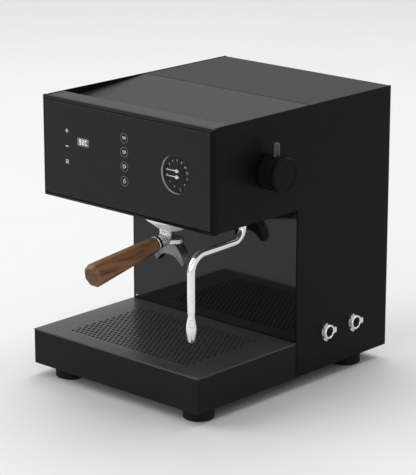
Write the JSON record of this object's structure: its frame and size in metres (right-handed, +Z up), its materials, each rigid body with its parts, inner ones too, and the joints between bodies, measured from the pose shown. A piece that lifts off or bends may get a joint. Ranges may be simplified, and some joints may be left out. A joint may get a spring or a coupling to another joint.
{
  "type": "espresso machine",
  "caption": "Box-shaped countertop espresso machine with a portafilter group, swivelling steam wand, side steam knob, pressure gauge, drip tray and lift-out tank.",
  "frame": {"origin": "middle of the whole object's footprint, on the counter", "axes": "+X to the machine's right, +Y to its back, +Z up"},
  "size_m": [0.321, 0.4028, 0.3655],
  "materials": {
    "painted_body": "fine matt powder coat",
    "splash_gloss": "black mirror gloss",
    "bezel_plastic": "satin",
    "black_glass": "back-painted gloss",
    "dial_black": "printed matt",
    "clear_glass": "clear",
    "needle_white": "matt white",
    "chrome": "polished",
    "steel": "satin",
    "brass": "machined",
    "copper": "drawn tube",
    "cast_alloy": "cast",
    "knob_black": "satin black",
    "walnut": "oiled",
    "ferrule_black": "satin black",
    "rubber_black": "matt",
    "tank_plastic": "smoked translucent",
    "tray_plastic": "moulded",
    "hose_silicone": "soft",
    "board_green": "solder mask",
    "display_black": "gloss",
    "pump_shell": "moulded coil frame"
  },
  "bodies": {
    "chassis": {"base_plate": "painted_body", "rubber_feet": "rubber_black", "left_side_panel": "painted_body", "right_side_panel": "painted_body", "rear_panel": "painted_body", "power_inlet": "tray_plastic", "backsplash": "splash_gloss", "head_floor": "painted_body", "cup_tray": "painted_body", "front_frame": "bezel_plastic", "control_glass": "black_glass", "touch_board": "board_green", "display_module": "display_black", "gauge_ring": "chrome", "gauge_lens": "clear_glass", "gauge_dial": "dial_black", "gauge_case": "steel", "group_body": "steel", "group_ring": "chrome", "group_gasket": "rubber_black", "shower_screen": "steel", "boiler_shell": "steel", "boiler_bolts": "steel", "wand_gland": "chrome", "steam_pipe": "copper", "steam_valve_body": "brass", "water_inlet_fitting": "chrome", "drain_fitting": "chrome", "fitting_locknuts": "brass", "tank_shelf": "steel", "tank_seat": "tray_plastic", "vibration_pump": "pump_shell", "pump_mounts": "rubber_black", "suction_hose": "hose_silicone", "brew_pipe": "copper", "thermoblock": "cast_alloy", "solenoid_valve": "steel", "control_board": "board_green"},
    "portafilter": {"portafilter_body": "chrome", "portafilter_neck": "chrome", "filter_basket": "steel", "handle_ferrule": "ferrule_black", "handle_grip": "walnut", "twin_spout": "chrome"},
    "wand": {"wand_tube": "chrome", "wand_tip": "chrome"},
    "knob": {"steam_knob": "knob_black", "knob_pin": "knob_black", "valve_spindle": "steel"},
    "tray": {"drip_tray": "painted_body"},
    "cover": {"drip_cover": "painted_body"},
    "tank": {"water_tank": "tank_plastic", "tank_outlet": "tray_plastic", "tank_lugs": "tank_plastic"},
    "lid": {"tank_lid": "painted_body", "lid_hinge_pins": "steel"},
    "upper_needle": {"pump_needle": "needle_white"},
    "lower_needle": {"boiler_needle": "needle_white"}
  },
  "joints": [
    {"name": "portafilter_lock", "type": "hinge", "parent": "chassis", "child": "portafilter", "pos_m": [-0.01395, -0.05659, 0.201], "axis": [0, 0, 1], "range_deg": [-45, 0]},
    {"name": "wand_swivel", "type": "hinge", "parent": "chassis", "child": "wand", "pos_m": [0.08605, -0.03359, 0.235], "axis": [0, 0, 1], "range_deg": [-30, 80]},
    {"name": "steam_knob_turn", "type": "hinge", "parent": "chassis", "child": "knob", "pos_m": [0.13205, -0.03959, 0.2962], "axis": [1, 0, 0], "range_deg": [0, 180]},
    {"name": "tray_slide", "type": "slide", "parent": "chassis", "child": "tray", "axis": [0, -1, 0], "range_m": [0, 0.179]},
    {"name": "cover_lift", "type": "slide", "parent": "tray", "child": "cover", "axis": [0, 0, 1], "range_m": [0, 0.02]},
    {"name": "tank_lift", "type": "slide", "parent": "chassis", "child": "tank", "axis": [0, 0, 1], "range_m": [0, 0.23]},
    {"name": "lid_hinge", "type": "hinge", "parent": "tank", "child": "lid", "pos_m": [-0.01395, 0.1949, 0.3575], "axis": [-1, 0, 0], "range_deg": [0, 90]},
    {"name": "upper_needle_turn", "type": "hinge", "parent": "chassis", "child": "upper_needle", "pos_m": [0.07065, -0.13539, 0.30425], "axis": [0, 1, 0], "range_deg": [0, 180], "stiffness_Nm_per_rad": 0.0005, "springref_deg": -28.65},
    {"name": "lower_needle_turn", "type": "hinge", "parent": "chassis", "child": "lower_needle", "pos_m": [0.07065, -0.13539, 0.29675], "axis": [0, 1, 0], "range_deg": [-180, 0], "stiffness_Nm_per_rad": 0.0005, "springref_deg": 28.65}
  ]
}
